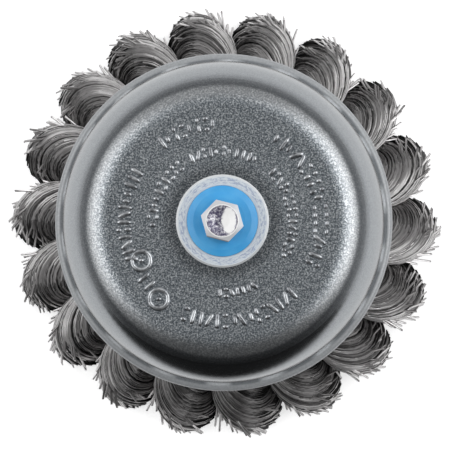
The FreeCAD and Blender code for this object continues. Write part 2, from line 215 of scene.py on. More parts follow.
hammerPaint = {
    "grains": [(0.40, (0.122, 0.143, 0.163)), (0.53, (0.325, 0.358, 0.386)),
               (0.63, (0.715, 0.745, 0.77))],
    "speckle": (2900.0, 3.0, 0.65),
    "texturedTo": (0.0310, 0.0302),  # end of the hammered face
    "even": (0.36, 0.362, 0.364),
    "evenShare": 0.55,  # painted sheen: share of plain grey over the grain on the corner
    "evenFrom": (0.0252, 0.0280),
    "band": (0.098, 0.108, 0.12),  # painted dark reflection where the corner meets the wall
    "bandShare": 0.7,
    "bandFrom": (0.0287, 0.0295),
    "wall": [(0.3, (0.21855, 0.23064, 0.24366)), (0.7, (0.235, 0.248, 0.262))],
    "worn": (420.0, 4.0, 0.6),
    # painted reflection: the lower wall is lighter, as where it mirrors the pale floor
    "lowerWall": (0.33, 0.347, 0.364),
    "lowerWallFrom": (0.0304, 0.0322),
    # painted reflection: the valley and the rolled rim are light grey and mostly not metallic, for
    # the pale floor they mirror
    "valley": (0.66, 0.68, 0.70),
    "valleyFrom": (0.0338, 0.0353),
    "valleyUnder": (0.0295, 0.0275),  # heights over which the valley's look ends on the wall
    "rim": (0.38, 0.395, 0.41),
    "rimFrom": (0.0362, 0.0365),
    # painted reflections of the knots: a dark streak in the valley at each knot
    "knotReflection": (0.26, 0.275, 0.29),
    "streakBand": (0.0354, 0.0357, 0.0363, 0.0367),
    "streakHalf": (8.5, 4.0),  # degrees from a knot over which its streak comes in
    "streakEvery": 20.0,
    "streakFirst": 18.0,
    "ragged": (260.0, 2.0, 0.5),
    "raggedBy": 6.0,  # degrees by which a streak's sides stray
    "hubShade": 0.6,  # share of the colour that the shade round the hub leaves
    "hubTo": (0.0104, 0.0138),
    "grit": (2600.0, 2.0, 0.6),
    "gritSteps": (0.35, 0.65),
    "gritLevels": (0.92, 1.08),  # factors on the colour
    "roughness": 0.2,
    "rimRoughness": 0.36,
    "texturedRoughness": 0.35,
    "outerMetallic": 0.15,  # metallic share of the valley and the rim; the rest has all of it
    "blister": (3600.0, 2.0, 0.5),
    "blisterDepth": 0.00004,
    "coat": 0.35,
    "coatRoughness": 0.2,
}


def knotReflectionsOn(tree, place, radius):
    # Dark streaks in the valley inside the rolled rim, one at each knot, painted as the knots'
    # reflections: the angle round the axis is folded to degrees from the nearest knot, and noise
    # moves it a little.
    paint = hammerPaint
    angle = mathOn(tree, "DEGREES", mathOn(tree, "ARCTAN2", place[1], place[0]))
    half = paint["streakEvery"] / 2
    turned = mathOn(tree, "ADD", angle, 360.0 + half - paint["streakFirst"])
    folded = mathOn(tree, "SUBTRACT", mathOn(tree, "MODULO", turned, paint["streakEvery"]), half)
    ragged = mathOn(tree, "SUBTRACT", noiseOn(tree, *paint["ragged"]), 0.5)
    away = mathOn(tree, "ADD", mathOn(tree, "ABSOLUTE", folded),
                  mathOn(tree, "MULTIPLY", ragged, paint["raggedBy"]))
    centred = stepOn(tree, away, *paint["streakHalf"])
    return mathOn(tree, "MULTIPLY", centred, bandOn(tree, radius, *paint["streakBand"]))


def makeHammerPaint():
    # Hammered grain on the face, evened to plain grey on the pressed corner as a painted sheen,
    # and darker where that meets the wall as a painted dark reflection. Outside it come the wall,
    # its lower part, the valley and the rolled rim, the last three painted lighter as reflections
    # of the pale floor, and the valley has dark streaks as painted reflections of the knots. Over
    # them all go grit and a shade round the hub, as a factor on the colour.
    paint = hammerPaint
    plain = paint["roughness"]
    material, tree, shader = newMaterial("hammer paint", paint["grains"][0][1], 1.0, plain)
    place = placeOn(tree)
    radius = radiusOn(tree, place)
    textured = stepOn(tree, radius, *paint["texturedTo"])
    rim = stepOn(tree, radius, *paint["rimFrom"])
    low = stepOn(tree, place[2], *paint["valleyUnder"])
    valley = mathOn(tree, "MULTIPLY", stepOn(tree, radius, *paint["valleyFrom"]), low)
    knotReflections = mathOn(tree, "MULTIPLY", knotReflectionsOn(tree, place, radius), low)

    face = rampOn(tree, noiseOn(tree, *paint["speckle"]), paint["grains"])
    for layer in ("even", "band"):
        share = stepOn(tree, radius, *paint[layer + "From"])
        share = mathOn(tree, "MULTIPLY", share, paint[layer + "Share"])
        face = mixOn(tree, share, face, paint[layer])
    wall = rampOn(tree, noiseOn(tree, *paint["worn"]), paint["wall"])
    lower = stepOn(tree, radius, *paint["lowerWallFrom"])
    wall = mixOn(tree, lower, wall, paint["lowerWall"])
    colour = mixOn(tree, textured, wall, face)
    for share, layer in ((valley, "valley"), (rim, "rim"), (knotReflections, "knotReflection")):
        colour = mixOn(tree, share, colour, paint[layer])

    hub = betweenOn(tree, stepOn(tree, radius, *paint["hubTo"]), paint["hubShade"], 1.0)
    grit = stepOn(tree, noiseOn(tree, *paint["grit"]), *paint["gritSteps"])
    level = mathOn(tree, "MULTIPLY", hub, betweenOn(tree, grit, *paint["gritLevels"]))
    shaded = addNode(tree, "ShaderNodeVectorMath", operation="SCALE")
    tree.links.new(colour, shaded.inputs[0])
    tree.links.new(level, shaded.inputs["Scale"])
    tree.links.new(shaded.outputs[0], shader.inputs["Base Color"])

    coarse = mathOn(tree, "MULTIPLY", textured, paint["texturedRoughness"] - plain)
    rough = mathOn(tree, "ADD", betweenOn(tree, rim, plain, paint["rimRoughness"]), coarse)
    tree.links.new(rough, shader.inputs["Roughness"])
    metallic = betweenOn(tree, valley, 1.0, paint["outerMetallic"])
    tree.links.new(metallic, shader.inputs["Metallic"])
    blister = mathOn(tree, "MULTIPLY", noiseOn(tree, *paint["blister"]), textured)
    bumpOn(tree, shader, blister, paint["blisterDepth"])
    shader.inputs["Coat Weight"].default_value = paint["coat"]
    shader.inputs["Coat Roughness"].default_value = paint["coatRoughness"]
    return material


zincPlate = {
    "bright": (0.72, 0.78, 0.83),
    "shade": (0.34, 0.41, 0.58),
    # painted highlight: the outer edge near white, where it catches the light
    "edge": (0.93, 0.96, 0.98),
    "edgeFrom": (0.0092, 0.0096),
    "smearAlong": 8.0,  # smears round the axis, per radian
    "smearAcross": 3200.0,  # and outwards, per metre
    "smear": (1.0, 5.0, 0.75),
    "smearSteps": (0.53, 0.42),
    "smearBand": (0.0077, 0.0083, 0.0090, 0.0095),
    "smearShares": (0.15, 0.85),  # how strong the smears are outside their band and in it
    "axisRadius": 0.001,  # inside it the direction has less than its full length
    "grain": (3800.0, 3.0, 0.6),
    "grainDepth": 0.00002,
    "metallic": 0.45,
    "roughness": 0.45,
}


def makeZincPlate():
    # blue smears of passivation along the middle of the bush's face, and a bright edge that is a
    # painted highlight; the smears are noise on the direction from the axis and the distance from
    # it
    zinc = zincPlate
    material, tree, shader = newMaterial("zinc plate", zinc["bright"], zinc["metallic"],
                                         zinc["roughness"])
    place = placeOn(tree)
    radius = radiusOn(tree, place)
    apart = mathOn(tree, "MAXIMUM", radius, zinc["axisRadius"])
    polar = addNode(tree, "ShaderNodeCombineXYZ")
    for axis in (0, 1):
        unit = mathOn(tree, "DIVIDE", place[axis], apart)
        tree.links.new(mathOn(tree, "MULTIPLY", unit, zinc["smearAlong"]), polar.inputs[axis])
    tree.links.new(mathOn(tree, "MULTIPLY", radius, zinc["smearAcross"]), polar.inputs[2])
    smear = noiseOn(tree, *zinc["smear"], vector=polar.outputs["Vector"])
    band = betweenOn(tree, bandOn(tree, radius, *zinc["smearBand"]), *zinc["smearShares"])
    share = mathOn(tree, "MULTIPLY", stepOn(tree, smear, *zinc["smearSteps"]), band)
    colour = mixOn(tree, share, zinc["bright"], zinc["shade"])
    colour = mixOn(tree, stepOn(tree, radius, *zinc["edgeFrom"]), colour, zinc["edge"])
    tree.links.new(colour, shader.inputs["Base Color"])
    bumpOn(tree, shader, noiseOn(tree, *zinc["grain"]), zinc["grainDepth"])
    return material


boltFinish = {
    "flakes": (1500.0, 5.0, 0.75),
    "colours": [(0.46, (0.10, 0.09, 0.16)), (0.54, (0.42, 0.41, 0.50)),
                (0.62, (0.92, 0.92, 0.94))],
    # painted glare: near white where the face mirrors a lamp
    "glare": (0.97, 0.97, 0.97),
    "chamfer": (0.66, 0.67, 0.70),
    "faceTo": (0.00352, 0.0034),
    "ringFrom": (0.00318, 0.00330),  # painted highlight: a bright ring round the face
    "glareAt": (0.0014, 0.0001),  # centre and half sizes of the painted glare patch
    "glareHalf": (0.0015, 0.0028),
    "glareEdge": (2.3, 2.0),  # its end, in squared half sizes plus the flakes' noise
    "ragged": 2.4,  # factor on that noise
    "shadedFlat": (0.24, 0.25, 0.27),  # painted shade: one flat of the hexagon painted dark
    "shadedFlatTowards": (-0.25, -0.968),
    "shadedFlatFrom": (0.0037, 0.0039),
    "metallic": (0.15, 0.7),  # of the plain parts, and of the flakes
    "roughness": 0.34,
    "flakeDepth": 0.00006,
}


def makeBoltZinc():
    # The head's face has dark violet flakes and, right of its middle, an oval patch of painted
    # glare, near white. A bright ring runs round it as a painted highlight. The chamfer and the
    # sides are plain, but for one flat painted dark as painted shade.
    finish = boltFinish
    material, tree, shader = newMaterial("bright bolt", finish["colours"][-1][1],
                                         finish["metallic"][1], finish["roughness"])
    place = placeOn(tree)
    radius = radiusOn(tree, place)
    onFace = stepOn(tree, radius, *finish["faceTo"])
    flakes = noiseOn(tree, *finish["flakes"])
    oval = mathOn(tree, "MULTIPLY", flakes, finish["ragged"])
    for axis in (0, 1):
        offset = mathOn(tree, "SUBTRACT", place[axis], finish["glareAt"][axis])
        share = mathOn(tree, "DIVIDE", offset, finish["glareHalf"][axis])
        oval = mathOn(tree, "ADD", oval, mathOn(tree, "POWER", share, 2.0))
    glare = mathOn(tree, "MAXIMUM", stepOn(tree, oval, *finish["glareEdge"]),
                    stepOn(tree, radius, *finish["ringFrom"]))
    face = mixOn(tree, glare, rampOn(tree, flakes, finish["colours"]), finish["glare"])
    along = [mathOn(tree, "MULTIPLY", place[axis], finish["shadedFlatTowards"][axis])
             for axis in (0, 1)]
    shadedFlat = stepOn(tree, mathOn(tree, "ADD", *along), *finish["shadedFlatFrom"])
    sides = mixOn(tree, shadedFlat, finish["chamfer"], finish["shadedFlat"])
    tree.links.new(mixOn(tree, onFace, sides, face), shader.inputs["Base Color"])
    flaked = mathOn(tree, "MULTIPLY", mathOn(tree, "SUBTRACT", 1.0, glare), onFace)
    metallic = betweenOn(tree, flaked, *finish["metallic"])
    tree.links.new(metallic, shader.inputs["Metallic"])
    relief = mathOn(tree, "MULTIPLY", flakes, onFace)
    bumpOn(tree, shader, relief, finish["flakeDepth"])
    return material


highlightMarkPaint = {  # on the raised marks, smoother and lighter: painted highlight
    "base": ((0.5, 0.52, 0.54), 1.0, 0.34),  # colour, metallic and roughness
    "mottle": (900.0, 3.0, 0.6),
    "shades": [(0.38, (0.22, 0.23, 0.245)), (0.60, (0.54, 0.56, 0.58))],
    "grain": (900.0, 3.0, 0.6),
    "grainDepth": 0.00004,
}

bluePlastic = {
    "base": ((0.06, 0.40, 0.80), 0.0, 0.4),
    "mottle": (260.0, 2.0, 0.5),
    "shades": [(0.3, (0.045, 0.35, 0.74)), (0.7, (0.085, 0.42, 0.80))],
    "grain": (4000.0, 2.0, 0.5),
    "grainDepth": 0.00001,
}

plainSteel = {
    "base": ((0.42, 0.42, 0.43), 1.0, 0.42),
    "mottle": (900.0, 3.0, 0.5),
    "shades": [(0.3, 0.33), (0.7, 0.48)],
    "grain": (900.0, 3.0, 0.5),
    "grainDepth": 0.00002,
}

wireSteel = {
    "base": ((0.6, 0.6, 0.6), 0.8, 0.3),
    "shades": [(0.0, (0.025, 0.024, 0.024)), (0.42, (0.34, 0.33, 0.33)),
               (0.58, (1.0, 0.98, 0.98))],
    "grain": (2600.0, 2.0, 0.5),
    "grainDepth": 0.000004,
}


def makeShaded(name, finish):
    # A noise picks the shade and another gives the relief. Without a mottle the shade comes from
    # the mesh, where each wire has its own under the name wireShade: its tone times painted light
    # and shade.
    material, tree, shader = newMaterial(name, *finish["base"])
    if "mottle" in finish:
        shade = noiseOn(tree, *finish["mottle"])
    else:
        shade = addNode(tree, "ShaderNodeAttribute", attribute_name="wireShade").outputs["Fac"]
    tree.links.new(rampOn(tree, shade, finish["shades"]), shader.inputs["Base Color"])
    bumpOn(tree, shader, noiseOn(tree, *finish["grain"]), finish["grainDepth"])
    return material


zinc = makeZincPlate()
finishes = {
    "cup_shell": makeHammerPaint(),
    "threaded_bush": zinc,
    "backing_washer": zinc,
    "plug_bolt": makeBoltZinc(),
    "bore_plug": makeShaded("blue plastic", bluePlastic),
    "knot_holder": makeShaded("plain steel", plainSteel),
}
for node, material in finishes.items():
    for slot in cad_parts[node].material_slots:
        slot.material = material
markMaterial = makeShaded("highlight mark paint", highlightMarkPaint)
wireMaterial = makeShaded("wire steel", wireSteel)
print("materials made")


# Raised marks on the cup's face

marks = {  # lengths in mm
    "height": 0.46,
    "halfWidth": 0.66,
    "sunk": 0.06,  # how far the foot is under the face
    # outline over the foot, in half widths and heights
    "ridge": [(0.78, 0.3), (0.42, 0.8), (0, 1), (-0.42, 0.8), (-0.78, 0.3)],
    "stations": 9,  # sections along a bar
    "shortest": 0.01,  # least half length between the round ends
    "blunt": 0.98,  # how far a bar's ends narrow; 1 would be to a point
    "ringSteps": 28,
    "seed": 7,
    "rows": [  # radius, size of a mark outwards, from and to in degrees, pitch
        (21.0, 3.2, 95, 128, 1.7),
        (21.0, 3.2, 150, 205, 1.6),
        (21.0, 3.4, -25, 58, 1.75),
        (21.2, 3.4, -112, -42, 1.75),
        (14.9, 2.5, 62, 118, 1.4),
        (14.9, 2.5, 128, 186, 1.4),
        (14.9, 2.3, -30, 46, 1.3),
        (15.2, 2.1, -92, -60, 1.25),
    ],
    "kinds": 6,  # the first two are a bar over the full size
    "leaning": 0.45,  # a leaning bar's angle in radians
    "dashes": (0.36, 0.8),  # two dashes: how far out and in, in sizes; length in pitches
    "stem": (-0.22, 0.55),  # bar under a dot: how far out and how long, in sizes
    "dot": (0.36, 0.5),  # how far out in sizes, and its length
    "shortBar": (0.2, 0.6),  # how far aside in pitches, and length in sizes
    "rings": [(230.5, 21.4), (205.8, 19.2)],  # degrees and radius of two rings with a dot
    "ringRadius": 2.0,
    "ringDot": 0.7,
    "pair": (218.5, 20.6, 1.05, 3.2),  # two bars: degrees, radius, half their gap, length
}


def heading(turn):
    # unit vector at an angle round the axis, and the one a quarter turn on from it
    along = np.array([math.cos(turn), math.sin(turn)])
    return along, np.array([-along[1], along[0]])


def markSection():
    # cross-section of a raised mark: a rounded ridge with its foot under the face
    half, height = marks["halfWidth"], marks["height"]
    foot = [(-half, -marks["sunk"]), (half, -marks["sunk"])]
    return np.array(foot + [(aside * half, up * height) for aside, up in marks["ridge"]])


def barMark(centre, direction, length):
    # straight mark with round ends: its section is carried along the direction and
    # narrows as a half circle at both ends
    stations = marks["stations"]
    way = -np.cos(np.pi * np.arange(stations) / (stations - 1))
    half = marks["halfWidth"]
    straight = max(length / 2 - half, marks["shortest"])
    end = np.clip((np.abs(way) * (straight + half) - straight) / half, 0, marks["blunt"])
    narrow = np.sqrt(1 - end ** 2)
    section = markSection()
    along, side = heading(direction)
    offset = way * (straight + half)
    aside = narrow[:, None] * section[:, 0]
    flat = centre + offset[:, None, None] * along + aside[..., None] * side
    level = np.maximum(section[:, 1], 0) * narrow[:, None] + np.minimum(section[:, 1], 0)
    points = np.concatenate([flat, level[..., None]], axis=-1)
    corner = np.arange(points[..., 0].size).reshape(stations, len(section))
    following = np.roll(corner, -1, axis=1)
    walls = np.stack([corner[:-1], corner[1:], following[1:], following[:-1]], axis=-1)
    return points.reshape(-1, 3), walls.reshape(-1, 4), np.stack([corner[0], corner[-1, ::-1]])


def ringMark(centre, radius):
    # the same section carried round a circle
    steps = marks["ringSteps"]
    turn = 2 * np.pi * np.arange(steps) / steps
    section = markSection()
    reach = radius + section[:, 0]
    level = np.broadcast_to(section[:, 1], (steps, len(section)))
    points = np.stack([centre[0] + reach * np.cos(turn)[:, None],
                       centre[1] + reach * np.sin(turn)[:, None], level], axis=-1)
    corner = np.arange(level.size).reshape(level.shape)
    ahead = np.roll(corner, -1, axis=0)
    walls = np.stack([corner, np.roll(corner, -1, axis=1), np.roll(ahead, -1, axis=1), ahead],
                     axis=-1)
    return points.reshape(-1, 3), walls.reshape(-1, 4), np.zeros((0, len(section)), int)


def markRow(rng, radius, size, start, stop, pitch):
    # a row of bars, leaning bars, dashes and dots round the axis, at an even pitch
    pieces = []
    for turn in np.radians(np.arange(start, stop, math.degrees(pitch / radius))):
        outward, sideways = heading(turn)
        kind = rng.integers(0, marks["kinds"])
        if kind <= 1:
            pieces.append(barMark(radius * outward, turn, size))
        elif kind == 2:
            lean = rng.choice([-marks["leaning"], marks["leaning"]])
            pieces.append(barMark(radius * outward, turn + lean, size))
        elif kind == 3:
            out, length = marks["dashes"]
            for lift in (-out, out):
                centre = (radius + lift * size) * outward
                pieces.append(barMark(centre, turn + math.pi / 2, length * pitch))
        elif kind == 4:
            out, length = marks["stem"]
            pieces.append(barMark((radius + out * size) * outward, turn, length * size))
            out, length = marks["dot"]
            pieces.append(barMark((radius + out * size) * outward, turn, length))
        else:
            shift, length = marks["shortBar"]
            centre = radius * outward + shift * pitch * sideways
            pieces.append(barMark(centre, turn, length * size))
    return pieces


def makeMarks():
    # one piece on the face of all rows, two rings with a dot and a pair of bars
    rng = np.random.default_rng(marks["seed"])
    pieces = []
    for row in marks["rows"]:
        pieces += markRow(rng, *row)
    for degrees, radius in marks["rings"]:
        centre = radius * heading(math.radians(degrees))[0]
        pieces.append(ringMark(centre, marks["ringRadius"]))
        pieces.append(barMark(centre, 0.0, marks["ringDot"]))
    degrees, radius, aside, length = marks["pair"]
    turn = math.radians(degrees)
    outward, sideways = heading(turn)
    for shift in (-aside, aside):
        pieces.append(barMark(radius * outward + shift * sideways, turn, length))
    firsts = np.cumsum([0] + [len(points) for points, _, _ in pieces])
    points = np.concatenate([points for points, _, _ in pieces]) + np.array([0, 0, faceHeight])
    walls = np.concatenate([walls + first for (_, walls, _), first in zip(pieces, firsts)])
    ends = np.concatenate([ends + first for (_, _, ends), first in zip(pieces, firsts)])
    piece = meshPiece("faceMarks", points, [walls, ends])
    piece.data.materials.append(markMaterial)
    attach(piece, "root")


makeMarks()
print("raised marks made")


# Wire knots

knot = {  # lengths in mm, angles in degrees
    "seed": 1000,  # the first knot's; each of the others has the next one
    "layers": [50, 46, 40, 32, 23, 13],  # wires from the outside of a bundle to its middle
    "layerStep": 0.135,
    "wireRadius": 0.3,
    "endTaper": 0.6,  # share of the radius at a wire's end
    "sides": 3,  # corners of a wire's section
    "count": 18,
    "firstAngle": 18.0,
    "rootHeight": 36.25,
    "rootRadius": 25.33,
    "rimClear": 0.3,  # how far under the cup's rim the knots begin to open
    "rimRadius": 28.35,
    "tipRadius": 41.3,
    "bundleRadius": 4.85,  # down to the rim, and half the size outwards at the tips
    "tipHalf": 8.5,
    "flarePower": 0.85,
    "flareBend": 1.8,
    "layAngle": 46.0,
    "turnLevels": 400,
    "leanOut": 8.2,  # sideways lean: out times the square of the opening less back times it
    "leanBack": 7.3,
    "insideLevels": 4,
    "outsideLevels": 16,
    "depthJitter": 0.022,  # spread of a wire's place in the disc
    "gather": (0.3, 0.12),  # how far wires close up into bunches, and more of it at the tips
    "bunches": [(10, 0.62), (5, 0.38)],  # how many round a bundle, and their shares
    "layerPhase": 1.3,  # by how much the bunches turn from one layer to the next
    "wander": 0.025,  # radians by which single wires wave, and the waves' angles to the tips
    "wanderTurns": (4, 7),
    "strays": 80,  # loose wires besides those in the layers
    "strayBearings": (-80.0, 55.0),  # degrees from outward at which they leave the bundle
    "strayHeights": (1.0, 11.0),
    "strayRun": (0.5, 1.5),  # how many steps they go on, and the kick, in steps
    "strayKick": (0.1, 0.6),
    "strayAim": 0.6,  # how near to its bearing, in radians, a wire has to pass
    "reach": 50.4,  # no wire's middle is farther from the axis
    "endRadii": 1.3,  # height of the lowest wire end, in wire radii
    "trim": 1.0,  # how much higher the highest one is
    "shadeSpread": (0.18, 0.78),  # painted shade between bunches, and single wires' spread of tone
    "leastShade": 0.04,  # least share of its own that a wire has
    "glints": (0.15, 0.42),  # painted glints: share of wires, and the least light they keep all round
    "brightBearing": -64.0,  # degrees from outward to the side with the brightest painted light
    "shadeFall": 2.1,
    "strayOwn": (0.6, 1.0),
    "strayTip": 1.1,  # a stray's painted light is at least this at its tip
    "middleShade": 0.15,  # shade in a bundle's middle, against that on its outside
    "middleFall": 4,
    "rimShade": 0.85,  # shade where the wires leave the cup, against that at their tips
    "rimFall": 1.6,  # how soon it rises on the way down
    "darkSide": 0.02,  # painted shade on the other side, where the next knot shadows it
    "webTop": 40.15,  # lowest wire where the bundle folds over the holder
    "foldThickness": 2.3,
    "foldWidth": 5.6,
    "foldClear": 0.25,  # gap beside the holder's flange
    "foldShoulder": 0.6,  # how far under webTop the quarter turn begins
    "foldFoot": 1.2,  # how far over the flange's lower edge the legs go down
    # painted shade of the wires folded inside the cup
    "foldShade": 0.4,
    "holderOutside": 26.67,  # flange's outside and inside faces at its lower edge
    "holderInside": 23.83,
    "holderEdge": 36.5,  # height of that edge
    "holderSlope": 0.379,  # how far the flange leans in for each mm up
}

leaveHeight = rimHeight - knot["rimClear"]
bundleCount = sum(knot["layers"])
wireCount = bundleCount + knot["strays"]


def knotCentre(height):
    # Radius of the centre line: straight from the root to the rim, and from there
    # outwards by a power of the way that is left to the tips.
    inside = (knot["rootHeight"] - height) / (knot["rootHeight"] - leaveHeight)
    straight = knot["rootRadius"] + (knot["rimRadius"] - knot["rootRadius"]) * inside
    left = np.clip(height / leaveHeight, 0, 1) ** knot["flareBend"]
    bent = knot["tipRadius"] - (knot["tipRadius"] - knot["rimRadius"]) * left
    return np.where(height > leaveHeight, straight, bent)


def knotHalves(height):
    # Half sizes along the brush's radius and across it: round down to the rim,
    # then opening as a power of the way to the tips. The half across stops at
    # the flat that it shares with the next knot.
    opened = np.clip(1 - height / leaveHeight, 0, 1) ** knot["flarePower"]
    alongRadius = knot["bundleRadius"] + (knot["tipHalf"] - knot["bundleRadius"]) * opened
    halfPitch = math.pi / knot["count"]
    share = math.tan(halfPitch) * np.sqrt(knotCentre(height) ** 2 - alongRadius ** 2)
    return alongRadius, np.minimum(alongRadius, share)


def knotTurn(height):
    # Angle turned from the root down to a height: the lay's slope times the length of
    # centre line, over the bundle's mean half size, added up.
    levels = np.linspace(knot["rootHeight"], 0, knot["turnLevels"])
    centres = knotCentre(levels)
    alongRadius, across = knotHalves(levels)
    lengths = np.hypot(np.diff(levels), np.diff(centres))
    means = (alongRadius + across)[1:] / 2
    steps = lengths * math.tan(math.radians(knot["layAngle"])) / means
    return np.interp(-height, -levels, np.concatenate([[0], np.cumsum(steps)]))


def bundlePlaces(rng):
    # Place of each wire in a unit disc: rings of evenly spaced wires, one in another,
    # and the strays anywhere on the outermost ring
    angle = np.concatenate([2 * np.pi * (np.arange(n) + rng.random()) / n for n in knot["layers"]]
                           + [rng.uniform(0, 2 * np.pi, knot["strays"])])
    layer = np.concatenate([np.repeat(np.arange(len(knot["layers"])), knot["layers"]),
                            np.zeros(knot["strays"], int)])
    disc = 1 - knot["layerStep"] * layer + rng.normal(0, knot["depthJitter"], wireCount)
    disc[layer == 0] = np.minimum(disc[layer == 0], 1)
    return angle, disc, layer


def straightenStrays(rng, paths, bearing, height):
    # A stray leaves the bundle at the level where it comes nearest to a bearing of its own
    # and goes straight on: by the wire's last step plus a kick away from the bundle's
    # middle, less and less of it, and as many times as its run in all.
    loose = np.arange(wireCount) >= bundleCount
    target = rng.uniform(*np.radians(knot["strayBearings"]), wireCount)
    wrapped = np.abs((bearing - target[:, None] + math.pi) % (2 * math.pi) - math.pi)
    low, high = knot["strayHeights"]
    wrapped = np.where((height > low) & (height < high), wrapped, np.inf)
    leave = np.argmin(wrapped, axis=1)
    run = rng.uniform(*knot["strayRun"], wireCount)
    index = np.arange(paths.shape[1])
    beyond = np.clip(index - leave[:, None], 0, None)
    steps = run[:, None] * (1 - np.exp(-beyond / run[:, None]))
    rows = np.arange(wireCount)
    start = paths[rows, leave]
    step = start - paths[rows, np.maximum(leave - 1, 0)]
    facing = bearing[rows, leave]
    kick = rng.uniform(*knot["strayKick"], wireCount) * np.linalg.norm(step, axis=1)
    step += kick[:, None] * np.stack([np.cos(facing), np.sin(facing), np.zeros(wireCount)], axis=1)
    straight = start[:, None] + step[:, None] * steps[..., None]
    isStray = loose & (wrapped[rows, leave] < knot["strayAim"])
    use = isStray[:, None] & (beyond > 0)
    return np.where(use[..., None], straight, paths)


def twistedPaths(rng):
    # Wires of one knot from root to tips, wires x levels x 3, with +X outward. At each
    # height the wires' disc is turned by knotTurn and stretched to knotHalves, and below
    # the rim all knots lean alike round the brush's axis. Towards the tips wires side by
    # side gather into bunches: their angle moves against its own sine.
    angle, disc, layer = bundlePlaces(rng)
    lowest = knot["wireRadius"] * knot["endRadii"]
    endHeight = lowest + knot["trim"] * rng.random(wireCount) ** 2
    inside = np.linspace(0, 1, knot["insideLevels"], endpoint=False)
    outside = np.linspace(0, 1, knot["outsideLevels"])
    upper = knot["rootHeight"] + (leaveHeight - knot["rootHeight"]) * inside
    lower = leaveHeight + (endHeight[:, None] - leaveHeight) * outside
    height = np.concatenate([np.broadcast_to(upper, (wireCount, len(upper))), lower], axis=1)
    opened = np.clip(1 - height / leaveHeight, 0, 1)
    phases = rng.uniform(0, 2 * math.pi, 6)  # two are used; the draws after them rely on six
    gather = np.zeros(wireCount)
    bunched = np.zeros(wireCount)
    for (count, share), phase in zip(knot["bunches"], phases):
        place = count * angle + phase + knot["layerPhase"] * layer
        gather -= share * np.sin(place) / count
        bunched += share * np.cos(place)
    waves = rng.uniform(0, 2 * math.pi, (2, wireCount, 1))
    wander = sum(np.sin(turns * opened + wave) for turns, wave in zip(knot["wanderTurns"], waves))
    near, more = knot["gather"]
    bearing = angle[:, None] + knotTurn(height) + gather[:, None] * (near + more * opened)
    bearing += knot["wander"] * wander * opened
    alongRadius, across = knotHalves(height)
    outward = knotCentre(height) + alongRadius * disc[:, None] * np.cos(bearing)
    sideways = across * disc[:, None] * np.sin(bearing)
    lean = (knot["leanOut"] * opened ** 2 - knot["leanBack"] * opened) / knotCentre(height)
    paths = np.stack([outward * np.cos(lean) - sideways * np.sin(lean),
                      outward * np.sin(lean) + sideways * np.cos(lean), height], axis=-1)
    paths = straightenStrays(rng, paths, bearing, height)
    return paths, bearing, bunched, disc, disc * np.cos(angle), disc * np.sin(angle)


def foldedPaths(discX, discY):
    # The same wires above the root: up one leg beside the holder's flange and a quarter
    # turn to the crest over its web. Outer wires take the outer leg.
    outer = discX > 0
    spare = knot["foldThickness"] - knot["wireRadius"]
    depth = knot["wireRadius"] + knot["foldClear"] + spare * np.abs(discX)
    across = discY * (knot["foldWidth"] / 2 - knot["wireRadius"])

    def legRadius(height):
        rise = knot["holderSlope"] * (height - knot["holderEdge"])
        return np.where(outer, knot["holderOutside"] + depth, knot["holderInside"] - depth) - rise

    shoulder = knot["webTop"] - knot["foldShoulder"]
    middle = (knot["holderOutside"] + knot["holderInside"]) / 2
    middle -= knot["holderSlope"] * (knot["webTop"] - knot["holderEdge"])
    top = knot["webTop"] + depth - knot["foldClear"]
    points = []
    for turn in np.radians([90, 45]):
        radius = middle + (legRadius(shoulder) - middle) * math.cos(turn)
        height = shoulder + (top - shoulder) * math.sin(turn)
        points.append(np.stack([radius, across, height], axis=-1))
    low = np.full(len(discX), knot["holderEdge"] + knot["foldFoot"])
    points.append(np.stack([legRadius(low), across, low], axis=-1))
    return np.stack(points, axis=1)


def wireShades(rng, bearing, height, bunched, disc):
    # Shade of each wire at each level: its tone and shade times the painted light of its place.
    # The first is less between the bunches and as a power of the place in the disc towards the
    # bundle's middle, which are painted shade, and less by chance, which is the wire's tone. By
    # place the painted light falls from the bright side to the painted shadow on the other as a
    # power of half of one plus the cosine, and is a little less up at the rim. Strays get bright
    # as the square of the way down, and some wires keep painted glints all round.
    byBunch, bySelf = knot["shadeSpread"]
    middle, rim, dark = knot["middleShade"], knot["rimShade"], knot["darkSide"]
    chance = rng.random(wireCount)
    toneAndShade = np.maximum(1 - byBunch * (1 - bunched) - bySelf * chance, knot["leastShade"])
    toneAndShade *= middle + (1 - middle) * np.clip(disc, 0, 1) ** knot["middleFall"]
    toneAndShade[bundleCount:] = rng.uniform(*knot["strayOwn"], knot["strays"])
    litShade = 0.5 + 0.5 * np.cos(bearing - math.radians(knot["brightBearing"]))
    opened = np.clip(1 - height / leaveHeight, 0, 1)
    litShade *= rim + (1 - rim) * np.minimum(knot["rimFall"] * opened, 1)
    litShade = dark + (1 - dark) * litShade ** knot["shadeFall"]
    loose = knot["strayTip"] * opened[bundleCount:] ** 2
    litShade[bundleCount:] = np.maximum(litShade[bundleCount:], loose)
    share, shade = knot["glints"]
    glint = chance < share
    litShade[glint] = np.maximum(litShade[glint], shade)
    return toneAndShade[:, None], litShade


